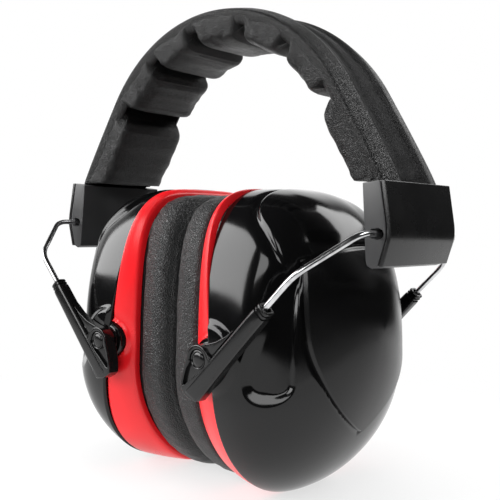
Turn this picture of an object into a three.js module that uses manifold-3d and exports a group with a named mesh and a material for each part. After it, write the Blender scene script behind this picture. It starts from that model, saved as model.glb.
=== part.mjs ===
// A folding ear-muff hearing protector: a padded headband, two wire yokes and two ear cups.
//
// Millimetres, +Z up. X runs across the head from ear to ear and the wearer's face is towards -Y.
// The origin is the middle of the plane that the two cups stand on. The cups hang face to face.
// Every piece is made for the +X side, and the -X side is its mirror image.

import * as THREE from 'three';
import { mergeVertices } from 'three/addons/utils/BufferGeometryUtils.js';
import Module from 'manifold-3d';

const wasm = await Module();
wasm.setup();

const { cos, sin, abs, sign, hypot, atan2, PI } = Math;
const radians = THREE.MathUtils.degToRad;
const lerp = THREE.MathUtils.lerp;

// ---- driving dimensions -------------------------------------------------------------------

const GAP = 0.3; // clearance between pieces that touch

// headband: the seam line between cover and pads is an arc over the crown with a flared leg each side
const CROWN_RADIUS = 61.4;
const CROWN_CENTRE_Z = 103.7;
const CROWN_HALF_ANGLE = radians(57.5);
const LEG_END = new THREE.Vector2(71, 104.6); // where the seam line meets the end cap
const LEG_END_TILT = radians(17.5); // of the leg from the vertical, at the end cap
const BAND_HALF_WIDTH = 17;
const COVER_THICKNESS = 2.9;
const COVER_RIDGE = 0.4; // how much the cover's middle ridge stands above its shoulders
const COVER_SIDE_ROLL = 0.6; // how far the cover's rolled sides stand out
const COVER_SHOULDER = 3; // width of the sloping shoulder on each side
const COVER_PAST_CAP = 3; // how far the cover is swept past the caps' tops before it is trimmed
const LEG_STEPS = 36; // straight steps that the curved strips are made of
const STRIP_HALF_WIDTH = 12;
const STRIP_THICKNESS = 1;
const STRIP_INTO_CAP = 5; // how far the spring strip runs into each end cap
const PAD_HALF_WIDTH = 15.8;
const PAD_THICKNESS = 10;
const PAD_SPACE = 1.4; // groove between neighbouring pads
const PAD_END_SPACE = 3.5; // between the end pad and the end cap, along the seam line
const PAD_DRAW = 0.1; // how much smaller the pad is at its underside, as a share
const PAD_END_ROUNDING = { share: 0.2, power: 12 }; // how the underside falls away at the ends
const PAD_SIDE_ROUNDING = { share: 0.15, power: 6 };
const PAD_STEP_POWER = 0.6; // below 1, steps are closer towards a pad's ends
const GROOVE_ANGLES = [11.8, 33.6, 57.5].map(radians); // from the crown, on each side

// end caps: a casing that holds the strip and the wire, and a bent cover outside it
const CAP_HALF_WIDTH = 20;
const CAP_TOP_Z = 105.8;
const CAP_BOTTOM_Z = 80.2;
const CAP_KNEE_Z = 90;
const CAP_INNER_TOP_X = 66.9;
const CAP_INNER_BOTTOM_X = 68.8;
const CAP_SEAM_X = 73; // seam between casing and cover, at top and bottom
const CAP_KNEE_OUT = 2.9; // how far the knee stands out past the top and bottom
const CAP_COVER_THICKNESS = 1.8;
const CAP_CHAMFER = 0.8;

// wire yoke: one bent wire, turning in the end cap, with a leg in front of and behind the cup
const HINGE = new THREE.Vector3(72.6, 0, 89.9);
const WIRE_RADIUS = 1;
const WIRE_ANGLE = radians(45.5); // of the legs below the horizontal
const WIRE_SIDE_Y = 28.6; // first bend, beside the end cap
const LEG_Y = 44; // the legs' distance from the middle plane
const LEG_BEND = 17; // second bend, measured along the leg from the hinge
const WIRE_END = 56;
const WIRE_BEND_RADIUS = 4;
const WIRE_BORE_RADIUS = 1.3;
const BORE_PAST_WIRE = 4.6; // room beyond the wire's end, for pushing the arms up the wire

// arms: each slides on a wire leg and carries a pivot pin of the cup
const ARM_START = 32.5; // along the leg, from the hinge
const ARM_INNER_Y = 41.3;
const ARM_OUTER_Y = 46;
const ARM_BELOW = 2; // of the bar's lower edge from the wire's line, at its upper end
const ARM_ABOVE = 2.3;
const PIVOT_ALONG = 62.7;
const PIVOT_ABOVE = 5.4; // the pivot's distance above the wire's line
const EYE_RADIUS = 4.8;
const EYE_FOOT = 56.5; // along the leg, where the bar starts to widen into the eye
const ARM_TAIL = { end: 76.3, endAbove: 4.2, topEnd: 75.6, topAbove: 6, heel: 72, heelBelow: 3 };
const PIN_RADIUS = 2.5;
const PIN_OUTER_Y = 45.6;
const PIN_INNER_Y = 37;
const PIN_BORE_RADIUS = 2.8;
const BOSS_RADIUS = 6;
const BOSS_STEP_RADIUS = 4.6;
const BOSS_INNER_Y = 35.5;
const BOSS_STEP_Y = 40.2;
const BOSS_OUTER_Y = 41;
const BOSS_SIDES = 20; // flat sides that stand for its roundness
const BOSS_ROOM_INNER_Y = 27.5; // how deep the ring and the shell are cut away for the boss

// cups: an outline is { half, top, bottom, topPower, bottomPower, middle }, a superellipse in YZ
const FACE_OUTLINE = {
  half: 36.1,
  top: 61.5,
  bottom: 41.3,
  topPower: 4.45,
  bottomPower: 1.79,
  middle: 40.45,
};
const SEAM_OUTLINE = {
  half: 39.6,
  top: 61.8,
  bottom: 42.6,
  topPower: 3.93,
  bottomPower: 2.3,
  middle: 42,
};
const SHELL_OUTLINE = {
  half: 40.6,
  top: 65,
  bottom: 39.6,
  topPower: 2.97,
  bottomPower: 2.18,
  middle: 38.9,
};
const FACE_X = 15.2; // the ring's edge at the cushion
const SEAM_X = 25.7; // the ring's edge at the shell, level with the outline's middle
const SEAM_SLOPE = 0.1246; // how much nearer to the head the seam is for each mm of height
const RING_THICKNESS = 2.4;
const SHELL_DEPTH_X = 63.4; // the shell's outermost point
const SHELL_RISE = 23; // how much higher than the outline's middle that point is
// how the outline shrinks over the shell's depth u, from 0 to 1: (1 - u ** power) ** root
const SHELL_SIDES = { power: 2.8, root: 0.68 };
const SHELL_TOP = { power: 3.66, root: 1 };
const SHELL_BOTTOM = { power: 1.2, root: 0.46 };
const SHELL_WALL = 2.2;
const MOUTH_OVERRUN = 6; // how far the hollow's cutter runs out of the shell's mouth
const PLATE_THICKNESS = 1.8;
const PLATE_INSET = RING_THICKNESS + 0.7; // from the ring's outline to the plate's edge
const CUSHION_FACE_X = 0.6;
const EAR_HOLE_INSET = 14.5; // from the ring's outline to the hole in the cushion
const CUSHION_SIDE_INSET = 0.4; // from the ring's outline to the cushion's fullest side
const FOAM_FRONT_X = 46;
const FOAM_CLEARANCE = 0.8;

// shield panel on the shell's outer face, a half outline in YZ
const SHIELD_THICKNESS = 0.8;
const SHIELD_TOP_HALF = 25.4;
const SHIELD_TOP_Z = 80;
const SHIELD_CROWN_Z = 85; // the top edge's highest point
const SHIELD_HALF = 27.2;
const SHIELD_SHOULDER_Z = 56; // where the sides turn in to the tip
const SHIELD_TIP_Z = 24;
const SHIELD_BACK_X = 38; // nearer to the head than any of the panel

const BEYOND = 60; // a distance that clears every piece, for cutters

// ---- materials ----------------------------------------------------------------------------

const plastic = (color, roughness) => new THREE.MeshStandardMaterial({ color, roughness, metalness: 0 });
const metal = (color, roughness) => new THREE.MeshStandardMaterial({ color, roughness, metalness: 1 });

const materials = {
  glossBlack: () => plastic(0x0b0b0c, 0.18),
  satinBlack: () => plastic(0x2a2a2c, 0.4),
  red: () => plastic(0xe01018, 0.25),
  leather: () => plastic(0x151516, 0.5),
  smoothLeather: () => plastic(0x101011, 0.42),
  foam: () => plastic(0x2b2b2e, 0.95),
  wire: () => metal(0xc9c9cc, 0.22),
  spring: () => metal(0x8f9196, 0.35),
};

// ---- solids -------------------------------------------------------------------------------

// a geometry with positions only, its shared corners merged and its faces turned outwards
function closed(geometry) {
  const bare = geometry.clone();
  bare.deleteAttribute('normal');
  bare.deleteAttribute('uv');
  const merged = mergeVertices(bare, 1e-4);
  const { position } = merged.attributes;
  const corner = (i) => new THREE.Vector3().fromBufferAttribute(position, i);
  const faces = [];
  let volume = 0;
  for (let i = 0; i < merged.index.count; i += 3) {
    const [a, b, c] = [0, 1, 2].map((k) => merged.index.getX(i + k));
    if (a === b || b === c || c === a) continue;
    faces.push([a, b, c]);
    volume += corner(a).dot(corner(b).cross(corner(c)));
  }
  merged.setIndex(faces.flatMap(([a, b, c]) => (volume < 0 ? [a, c, b] : [a, b, c])));
  return merged;
}

function solid(geometry) {
  const { attributes, index } = closed(geometry);
  const vertProperties = new Float32Array(attributes.position.array);
  const triVerts = new Uint32Array(index.array);
  return new wasm.Manifold(new wasm.Mesh({ numProp: 3, vertProperties, triVerts }));
}

function fromSolid(body) {
  const mesh = body.getMesh();
  const geometry = new THREE.BufferGeometry();
  geometry.setAttribute('position', new THREE.BufferAttribute(mesh.vertProperties, 3));
  geometry.setIndex(new THREE.BufferAttribute(mesh.triVerts, 1));
  return geometry;
}

// a geometry without the space that the cutters fill
function cut(geometry, ...cutters) {
  return fromSolid(cutters.reduce((body, cutter) => body.subtract(solid(cutter)), solid(geometry)));
}

function common(geometry, ...others) {
  return fromSolid(others.reduce((body, other) => body.intersect(solid(other)), solid(geometry)));
}

function box(low, high) {
  const size = high.map((value, i) => value - low[i]);
  const middle = high.map((value, i) => (value + low[i]) / 2);
  return new THREE.BoxGeometry(...size).translate(...middle);
}

// a round rod along Y
function rodY(radius, fromY, toY, x, z, sides = 16) {
  return new THREE.CylinderGeometry(radius, radius, abs(toY - fromY), sides)
    .translate(x, (fromY + toY) / 2, z);
}

// an outline in the XZ plane, made into a slab along Y
function slabXZ(points, fromY, toY) {
  const shape = new THREE.Shape(points.map(([x, z]) => new THREE.Vector2(x, z)));
  return new THREE.ExtrudeGeometry(shape, { depth: toY - fromY, bevelEnabled: false })
    .rotateX(PI / 2)
    .translate(0, toY, 0);
}

// a lathe body whose point at (turn, radius, height) is moved to place(turn, radius, height)
function turned(profile, segments, place) {
  const points = profile.map(([radius, height]) => new THREE.Vector2(radius, height));
  const geometry = new THREE.LatheGeometry(points, segments);
  const { position } = geometry.attributes;
  for (let i = 0; i < position.count; i++) {
    const [a, b] = [position.getZ(i), position.getX(i)];
    const moved = place(atan2(b, a), hypot(a, b), position.getY(i));
    position.setXYZ(i, ...moved);
  }
  return geometry;
}

// ---- headband -----------------------------------------------------------------------------

// a point of the seam line, and the outward direction there; the angle is from the crown
function crownPoint(angle) {
  const outward = new THREE.Vector2(sin(angle), cos(angle));
  const point = outward.clone().multiplyScalar(CROWN_RADIUS);
  return { point: point.add(new THREE.Vector2(0, CROWN_CENTRE_Z)), outward };
}

// the seam line's flared leg, from the crown's arc (0) to the end cap (1), as a quadratic curve
function legCurve() {
  const start = crownPoint(CROWN_HALF_ANGLE).point;
  const along = new THREE.Vector2(cos(CROWN_HALF_ANGLE), -sin(CROWN_HALF_ANGLE));
  const up = new THREE.Vector2(-sin(LEG_END_TILT), cos(LEG_END_TILT));
  const chord = LEG_END.clone().sub(start);
  const reach = chord.cross(up) / along.cross(up);
  const control = start.clone().addScaledVector(along, reach);
  return new THREE.QuadraticBezierCurve(start, control, LEG_END);
}

const leg = legCurve();

// the seam line of the +X half as one run: 0 at the crown, 1 at the arc's end, 2 at the end cap
function seamPoint(run) {
  const half = abs(run);
  let place;
  if (half <= 1) {
    place = crownPoint(half * CROWN_HALF_ANGLE);
  } else {
    const tangent = leg.getTangent(half - 1);
    place = { point: leg.getPoint(half - 1), outward: new THREE.Vector2(-tangent.y, tangent.x) };
  }
  const side = run < 0 ? -1 : 1;
  const mirror = (vector) => new THREE.Vector2(vector.x * side, vector.y);
  return { point: mirror(place.point), outward: mirror(place.outward) };
}

class SeamLine extends THREE.Curve {
  constructor(beyond) {
    super();
    this.beyond = beyond; // how far it runs straight on, past the end caps' tops
  }

  getPoint(t) {
    const run = lerp(2, -2, t);
    const { point, outward } = seamPoint(run);
    const place = new THREE.Vector3(point.x, 0, point.y);
    const past = this.beyond * Math.max(0, (abs(run) - 1.9) / 0.1);
    const down = new THREE.Vector3(sign(run) * outward.y, 0, -abs(outward.x));
    return place.addScaledVector(down, past);
  }
}

// a strip of constant section along the seam line; section points are (across, outward)
function alongSeam(section, steps, beyond = 0) {
  const shape = new THREE.Shape(section.map(([across, out]) => new THREE.Vector2(across, out)));
  const extrudePath = new SeamLine(beyond);
  return new THREE.ExtrudeGeometry(shape, { steps, extrudePath });
}

function headbandCover() {
  const inside = STRIP_THICKNESS + 2 * GAP;
  const lip = STRIP_HALF_WIDTH + GAP;
  const shoulder = BAND_HALF_WIDTH - COVER_SHOULDER;
  const side = BAND_HALF_WIDTH + COVER_SIDE_ROLL;
  const rollHeight = 0.4 * COVER_THICKNESS;
  const section = [
    [-BAND_HALF_WIDTH, 0],
    [-lip, 0],
    [-lip, inside],
    [lip, inside],
    [lip, 0],
    [BAND_HALF_WIDTH, 0],
    [side, rollHeight],
    [shoulder, COVER_THICKNESS],
    [0, COVER_THICKNESS + COVER_RIDGE],
    [-shoulder, COVER_THICKNESS],
    [-side, rollHeight],
  ];
  return cut(alongSeam(section, LEG_STEPS, COVER_PAST_CAP), CAP_SPACE);
}

// the space below the plane just above the end caps
const CAP_SPACE = box([-2 * BEYOND, -BEYOND, 0], [2 * BEYOND, BEYOND, CAP_TOP_Z + GAP]);

function stripSection(clearance) {
  const [half, low, high] = [
    STRIP_HALF_WIDTH + clearance,
    GAP - clearance,
    GAP + STRIP_THICKNESS + clearance,
  ];
  return [[-half, low], [half, low], [half, high], [-half, high]];
}

// 1 in the middle, and less by a share at each end
const falloff = (place, { share, power }) => 1 - share * abs(place) ** power;

// a foam pad between two places on the seam line, crowned on its underside with rounded ends
function headbandPad(from, to) {
  const geometry = new THREE.BoxGeometry(2, 2, 2, 8, 4, 3);
  const { position } = geometry.attributes;
  for (let i = 0; i < position.count; i++) {
    const [along, across, height] = [position.getX(i), position.getY(i), position.getZ(i)];
    const depth = (1 - height) / 2;
    const share = sign(along) * abs(along) ** PAD_STEP_POWER;
    const rounding = falloff(share, PAD_END_ROUNDING) * falloff(across, PAD_SIDE_ROUNDING);
    const draw = 1 - PAD_DRAW * depth * depth;
    const { point, outward } = seamPoint(lerp(from, to, (share * draw + 1) / 2));
    const down = GAP + depth * PAD_THICKNESS * rounding;
    position.setXYZ(
      i,
      point.x - outward.x * down,
      across * PAD_HALF_WIDTH * draw,
      point.y - outward.y * down,
    );
  }
  return geometry;
}

// the runs of the seam line that the seven pads take, from the crown to one end
function padRuns() {
  const arc = CROWN_RADIUS * CROWN_HALF_ANGLE;
  const half = PAD_SPACE / 2;
  const grooves = GROOVE_ANGLES.map((angle) => angle / CROWN_HALF_ANGLE);
  const [first, second] = grooves;
  const step = half / arc;
  const legStep = half / leg.getLength();
  return [
    [-first + step, first - step],
    [first + step, second - step],
    [second + step, 1 - step],
    [1 + legStep, 2 - PAD_END_SPACE / leg.getLength()],
  ];
}

// ---- end caps -----------------------------------------------------------------------------

function capSeam(shift) {
  return [
    [CAP_SEAM_X + shift, CAP_TOP_Z],
    [CAP_SEAM_X + CAP_KNEE_OUT + shift, CAP_KNEE_Z],
    [CAP_SEAM_X + shift, CAP_BOTTOM_Z],
  ];
}

function capCasing() {
  const outline = [
    ...capSeam(0),
    [CAP_INNER_BOTTOM_X + 2 * CAP_CHAMFER, CAP_BOTTOM_Z - CAP_CHAMFER],
    [CAP_INNER_BOTTOM_X, CAP_BOTTOM_Z + CAP_CHAMFER],
    [CAP_INNER_TOP_X, CAP_TOP_Z - CAP_CHAMFER],
  ];
  const casing = slabXZ(outline, -CAP_HALF_WIDTH, CAP_HALF_WIDTH);
  const wireHole = rodY(WIRE_BORE_RADIUS, -WIRE_SIDE_Y, WIRE_SIDE_Y, HINGE.x, HINGE.z);
  const stripSlot = alongSeam(stripSection(GAP), LEG_STEPS, STRIP_INTO_CAP + GAP);
  return cut(casing, wireHole, stripSlot);
}

function capCover() {
  const outline = [...capSeam(CAP_COVER_THICKNESS), ...capSeam(GAP).reverse()];
  return slabXZ(outline, -CAP_HALF_WIDTH, CAP_HALF_WIDTH);
}

// ---- wire yoke and arms -------------------------------------------------------------------

// a leg's own axes are (along it from the hinge, y, above the wire's line), a mirrored frame
const legFrame = new THREE.Matrix4()
  .makeBasis(
    new THREE.Vector3(-cos(WIRE_ANGLE), 0, -sin(WIRE_ANGLE)),
    new THREE.Vector3(0, 1, 0),
    new THREE.Vector3(-sin(WIRE_ANGLE), 0, cos(WIRE_ANGLE)),
  )
  .setPosition(HINGE);

const PIVOT = new THREE.Vector3(PIVOT_ALONG, 0, PIVOT_ABOVE).applyMatrix4(legFrame);

// the wire's middle line: straight runs joined by rounded bends
function wirePath() {
  const corners = [
    [WIRE_END, -LEG_Y],
    [LEG_BEND, -LEG_Y],
    [0, -WIRE_SIDE_Y],
    [0, WIRE_SIDE_Y],
    [LEG_BEND, LEG_Y],
    [WIRE_END, LEG_Y],
  ].map(([along, y]) => new THREE.Vector3(along, y, 0));
  const path = new THREE.CurvePath();
  let start = corners[0];
  for (let i = 1; i < corners.length - 1; i++) {
    const corner = corners[i];
    const back = corners[i - 1].clone().sub(corner).setLength(WIRE_BEND_RADIUS).add(corner);
    const on = corners[i + 1].clone().sub(corner).setLength(WIRE_BEND_RADIUS).add(corner);
    path.add(new THREE.LineCurve3(start, back));
    path.add(new THREE.QuadraticBezierCurve3(back, corner, on));
    start = on;
  }
  path.add(new THREE.LineCurve3(start, corners.at(-1)));
  return path;
}

function wireYoke() {
  const section = new THREE.Shape().absarc(0, 0, WIRE_RADIUS, 0, 2 * PI);
  const options = { steps: 44, extrudePath: wirePath(), curveSegments: 4 };
  return new THREE.ExtrudeGeometry(section, options).applyMatrix4(legFrame);
}

// the arm's outline (along, above): a bar round the wire, and an eye on its upper side
function armOutline() {
  const eye = [];
  for (let turn = 200; turn >= 50; turn -= 25) {
    const angle = radians(turn);
    eye.push([PIVOT_ALONG + EYE_RADIUS * cos(angle), PIVOT_ABOVE + EYE_RADIUS * sin(angle)]);
  }
  return [
    [ARM_START, -ARM_BELOW],
    [ARM_START, ARM_ABOVE],
    [EYE_FOOT, ARM_ABOVE],
    ...eye,
    [ARM_TAIL.topEnd, ARM_TAIL.topAbove],
    [ARM_TAIL.end, ARM_TAIL.endAbove],
    [ARM_TAIL.heel, -ARM_TAIL.heelBelow],
  ];
}

// front arms lie at -Y and rear arms at +Y
function arm(end) {
  const [near, far] = end < 0 ? [-ARM_OUTER_Y, -ARM_INNER_Y] : [ARM_INNER_Y, ARM_OUTER_Y];
  const bar = slabXZ(armOutline(), near, far).applyMatrix4(legFrame);
  const boreLength = WIRE_END + BORE_PAST_WIRE;
  const bore = new THREE.CylinderGeometry(WIRE_BORE_RADIUS, WIRE_BORE_RADIUS, boreLength, 12)
    .rotateZ(PI / 2)
    .translate(boreLength / 2, end * LEG_Y, 0)
    .applyMatrix4(legFrame);
  const eye = rodY(PIN_BORE_RADIUS, end * PIN_INNER_Y, end * BEYOND, PIVOT.x, PIVOT.z);
  return cut(bar, bore, eye);
}

function pivotPin(end) {
  return rodY(PIN_RADIUS, end * PIN_INNER_Y, end * PIN_OUTER_Y, PIVOT.x, PIVOT.z);
}

function pivotBoss(end) {
  const profile = [
    [PIN_BORE_RADIUS, PIN_INNER_Y - GAP],
    [0, PIN_INNER_Y - GAP],
    [0, BOSS_INNER_Y],
    [BOSS_RADIUS, BOSS_INNER_Y],
    [BOSS_RADIUS, BOSS_STEP_Y],
    [BOSS_STEP_RADIUS, BOSS_STEP_Y],
    [BOSS_STEP_RADIUS, BOSS_OUTER_Y],
    [PIN_BORE_RADIUS, BOSS_OUTER_Y],
    [PIN_BORE_RADIUS, PIN_INNER_Y - GAP],
  ];
  const points = profile.map(([radius, y]) => new THREE.Vector2(radius, end * y));
  return new THREE.LatheGeometry(points, BOSS_SIDES).translate(PIVOT.x, 0, PIVOT.z);
}

// the room that the boss and its clearance take in the ring and the shell
function bossRoom(end) {
  const radius = BOSS_RADIUS + GAP;
  return rodY(radius, end * BOSS_ROOM_INNER_Y, end * BEYOND, PIVOT.x, PIVOT.z, BOSS_SIDES);
}

// ---- cups ---------------------------------------------------------------------------------

// the superellipse's point at an angle, `grow` millimetres outside the outline and then scaled
function outlinePoint(outline, turn, grow, scaleY = 1, scaleZ = 1) {
  const [c, s] = [cos(turn), sin(turn)];
  const power = s > 0 ? outline.topPower : outline.bottomPower;
  const height = (s > 0 ? outline.top : outline.bottom) + grow;
  const y = (outline.half + grow) * sign(c) * abs(c) ** (2 / power);
  const z = height * sign(s) * abs(s) ** (2 / power);
  return [y * scaleY, z * scaleZ];
}

const seamX = (z) => SEAM_X - SEAM_SLOPE * (z - SEAM_OUTLINE.middle);

const REFERENCE = 100; // a profile radius of 100 lies on the outline itself

// a closed band following the ring's outline; profile points are (offset, share of ring's width)
function ringBand(profile, segments) {
  const place = (turn, radius, share) => {
    const grow = radius - REFERENCE;
    const [y0, z0] = outlinePoint(FACE_OUTLINE, turn, grow);
    const [y1, z1] = outlinePoint(SEAM_OUTLINE, turn, grow);
    const height = lerp(z0 + FACE_OUTLINE.middle, z1 + SEAM_OUTLINE.middle, share);
    return [lerp(FACE_X, seamX(height), share), lerp(y0, y1, share), height];
  };
  return turned(profile.map(([offset, share]) => [REFERENCE + offset, share]), segments, place);
}

// a closed band following the cushion side's outline; profile points are (offset, x)
function faceBand(profile, segments) {
  const place = (turn, radius, x) => {
    const [y, z] = outlinePoint(FACE_OUTLINE, turn, radius - REFERENCE);
    return [x, y, z + FACE_OUTLINE.middle];
  };
  return turned(profile.map(([offset, x]) => [REFERENCE + offset, x]), segments, place);
}

// the space inside the shell's outer face, moved inwards by a wall
function dome(wall, layers, segments) {
  const profile = [[0, -1], [1, -1]];
  for (let i = 0; i <= layers; i++) {
    const depth = i / layers;
    profile.push([1, sin((depth * PI) / 2)]);
  }
  const place = (turn, radius, depth) => {
    const out = Math.max(depth, 0);
    const shrink = ({ power, root }) => (1 - out ** power) ** root * radius;
    const upper = THREE.MathUtils.smoothstep(sin(turn), -0.4, 0.4);
    const scaleZ = lerp(shrink(SHELL_BOTTOM), shrink(SHELL_TOP), upper);
    const [y, z] = outlinePoint(SHELL_OUTLINE, turn, -wall, shrink(SHELL_SIDES), scaleZ);
    const height = z + SHELL_OUTLINE.middle + SHELL_RISE * out * (1 - scaleZ);
    const rim = outlinePoint(SHELL_OUTLINE, turn, -wall)[1] * radius + SHELL_OUTLINE.middle;
    const overrun = depth < 0 && wall > 0 ? MOUTH_OVERRUN : 0;
    const base = seamX(rim) + GAP - overrun;
    return [lerp(base, SHELL_DEPTH_X - wall, out), y, height];
  };
  return turned(profile, segments, place);
}

const GROUND = box([0, -BEYOND, -BEYOND], [2 * BEYOND, BEYOND, 0]);

function shell() {
  const body = cut(dome(0, 8, 36), dome(SHELL_WALL, 6, 24), GROUND);
  return cut(body, bossRoom(-1), bossRoom(1));
}

// the raised shield-shaped panel on the shell's outer face
function shieldPanel() {
  const [top, half] = [SHIELD_TOP_HALF, SHIELD_HALF];
  const sideZ = (SHIELD_TOP_Z + SHIELD_SHOULDER_Z) / 2;
  const tipZ = SHIELD_TIP_Z + 0.4 * (SHIELD_SHOULDER_Z - SHIELD_TIP_Z);
  const outline = new THREE.Shape();
  outline.moveTo(-top, SHIELD_TOP_Z);
  outline.quadraticCurveTo(0, 2 * SHIELD_CROWN_Z - SHIELD_TOP_Z, top, SHIELD_TOP_Z);
  outline.quadraticCurveTo(half + 1, sideZ, half, SHIELD_SHOULDER_Z);
  outline.quadraticCurveTo(0.9 * half, tipZ, 0, SHIELD_TIP_Z);
  outline.quadraticCurveTo(-0.9 * half, tipZ, -half, SHIELD_SHOULDER_Z);
  outline.quadraticCurveTo(-half - 1, sideZ, -top, SHIELD_TOP_Z);
  const options = { depth: BEYOND, bevelEnabled: false, curveSegments: 6 };
  const prism = new THREE.ExtrudeGeometry(outline, options)
    .rotateX(PI / 2)
    .rotateZ(PI / 2)
    .translate(SHIELD_BACK_X, 0, 0);
  const layer = cut(dome(-GAP - SHIELD_THICKNESS, 8, 36), dome(-GAP, 8, 36));
  return common(layer, prism);
}

function trimRing() {
  const edge = 0.02; // the share of the ring's width that it keeps clear of the cushion
  const profile = [
    [0, edge],
    [0, 1],
    [-RING_THICKNESS, 1],
    [-RING_THICKNESS, edge],
    [0, edge],
  ];
  return cut(ringBand(profile, 40), GROUND, bossRoom(-1), bossRoom(1));
}

// the plate that closes the cup round the ear and carries the cushion
function cushionPlate() {
  const [outer, inner] = [-PLATE_INSET, -EAR_HOLE_INSET];
  const [near, far] = [FACE_X + GAP, FACE_X + GAP + PLATE_THICKNESS];
  const profile = [[outer, near], [outer, far], [inner, far], [inner, near], [outer, near]];
  return faceBand(profile, 36);
}

// a closed ring with a full outer side, a crowned face and a hole for the ear
function earCushion() {
  const back = FACE_X - GAP;
  const side = -CUSHION_SIDE_INSET;
  const hole = -EAR_HOLE_INSET;
  const profile = [
    [side - 0.8, back],
    [hole, back],
    [hole - 0.5, 8],
    [hole + 1, 3],
    [hole + 4, CUSHION_FACE_X + 0.3],
    [side - 6.6, CUSHION_FACE_X],
    [side - 2.6, 2],
    [side - 0.2, 5.5],
    [side, 10],
    [side - 0.8, back],
  ];
  return cut(faceBand(profile, 36), GROUND);
}

function foamLiner() {
  const room = box([FOAM_FRONT_X, -BEYOND, 0], [2 * BEYOND, BEYOND, 2 * BEYOND]);
  return common(dome(SHELL_WALL + FOAM_CLEARANCE, 6, 24), room);
}

// ---- assembly -----------------------------------------------------------------------------

// the mirror image on the other side of the head
function sided(geometry, side) {
  const ready = closed(geometry);
  return side > 0 ? ready : closed(ready.scale(-1, 1, 1));
}

function piece(name, geometry, material) {
  const mesh = new THREE.Mesh(geometry, material());
  mesh.name = name;
  return mesh;
}

const ends = [['front', -1], ['rear', 1]];

function headband() {
  const group = new THREE.Group();
  const strip = alongSeam(stripSection(0), LEG_STEPS, STRIP_INTO_CAP);
  group.add(piece('spring_strip', closed(strip), materials.spring));
  group.add(piece('headband_cover', closed(headbandCover()), materials.smoothLeather));
  const [middle, ...others] = padRuns();
  const left = others.map(([from, to]) => [-to, -from]).reverse();
  [...left, middle, ...others].forEach(([from, to], i) => {
    const pad = cut(headbandPad(from, to), CAP_SPACE);
    group.add(piece(`headband_pad_${i + 1}`, pad, materials.leather));
  });
  return group;
}

function endCap(name, side) {
  const group = new THREE.Group();
  group.add(piece(`end_cap_casing_${name}`, sided(capCasing(), side), materials.satinBlack));
  group.add(piece(`end_cap_cover_${name}`, sided(capCover(), side), materials.satinBlack));
  return group;
}

function yoke(name, side) {
  const group = new THREE.Group();
  group.add(piece(`wire_yoke_${name}`, sided(wireYoke(), side), materials.wire));
  for (const [end, y] of ends) {
    group.add(piece(`arm_${end}_${name}`, sided(arm(y), side), materials.glossBlack));
    group.add(piece(`pivot_pin_${end}_${name}`, sided(pivotPin(y), side), materials.satinBlack));
  }
  return group;
}

function cup(name, side) {
  const group = new THREE.Group();
  group.add(piece(`cup_shell_${name}`, sided(shell(), side), materials.glossBlack));
  group.add(piece(`shield_panel_${name}`, sided(shieldPanel(), side), materials.glossBlack));
  group.add(piece(`trim_ring_${name}`, sided(trimRing(), side), materials.red));
  group.add(piece(`cushion_plate_${name}`, sided(cushionPlate(), side), materials.satinBlack));
  group.add(piece(`ear_cushion_${name}`, sided(earCushion(), side), materials.leather));
  group.add(piece(`foam_liner_${name}`, sided(foamLiner(), side), materials.foam));
  for (const [end, y] of ends) {
    group.add(piece(`pivot_boss_${end}_${name}`, sided(pivotBoss(y), side), materials.glossBlack));
  }
  return group;
}

const group = new THREE.Group();
group.add(headband());
for (const [name, side] of [['left', -1], ['right', 1]]) {
  group.add(endCap(name, side));
  group.add(yoke(name, side));
  group.add(cup(name, side));
}

export default group;
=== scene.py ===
"""The looks of an ear-muff hearing protector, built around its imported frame.

Shapes are worked out in millimetres, in the frame's own axes: X from ear to ear, -Y towards the
wearer's face, Z up. Meshes are written in metres. What a side has is made for the +X side, and
its mirror image is the -X side's.
"""

import math

import bpy
import bmesh
import numpy as np
from mathutils import Matrix, Vector
from mathutils.bvhtree import BVHTree
from mathutils.kdtree import KDTree


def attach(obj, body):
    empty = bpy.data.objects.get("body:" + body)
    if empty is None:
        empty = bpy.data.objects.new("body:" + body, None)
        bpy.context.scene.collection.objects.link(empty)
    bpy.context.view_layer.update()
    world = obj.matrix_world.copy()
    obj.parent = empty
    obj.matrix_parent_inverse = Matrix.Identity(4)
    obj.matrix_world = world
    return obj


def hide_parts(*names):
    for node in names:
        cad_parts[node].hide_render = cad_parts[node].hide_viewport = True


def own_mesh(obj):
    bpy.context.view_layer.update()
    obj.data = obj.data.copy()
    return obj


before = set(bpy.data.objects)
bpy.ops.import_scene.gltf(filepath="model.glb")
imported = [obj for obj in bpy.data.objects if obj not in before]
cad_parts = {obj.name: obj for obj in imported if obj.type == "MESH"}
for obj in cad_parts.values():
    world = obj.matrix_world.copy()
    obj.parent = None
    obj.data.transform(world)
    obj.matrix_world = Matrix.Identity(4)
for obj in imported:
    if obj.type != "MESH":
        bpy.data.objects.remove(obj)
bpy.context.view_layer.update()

MM = 0.001
SIDES = (("left", -1), ("right", 1))
ENDS = (("front", -1), ("rear", 1))
PI = math.pi

# ---- dimensions that the CAD model has too, in millimetres ----

GAP = 0.3
CROWN_RADIUS = 61.4
CROWN_CENTRE_Z = 103.7
CROWN_HALF_ANGLE = math.radians(57.5)
LEG_END = np.array([71.0, 104.6])
LEG_END_TILT = math.radians(17.5)
BAND_HALF_WIDTH = 17
PAD_HALF_WIDTH = 15.8
PAD_THICKNESS = 10
PAD_SPACE = 1.4
PAD_END_SPACE = 3.5
GROOVE_ANGLES = [math.radians(angle) for angle in (11.8, 33.6, 57.5)]

CAP_HALF_WIDTH = 20
CAP_TOP_Z = 105.8
CAP_BOTTOM_Z = 80.2
CAP_KNEE_Z = 90
CAP_INNER_TOP_X = 66.9
CAP_INNER_BOTTOM_X = 68.8
CAP_SEAM_X = 73
CAP_KNEE_OUT = 2.9
CAP_COVER_THICKNESS = 1.8

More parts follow.
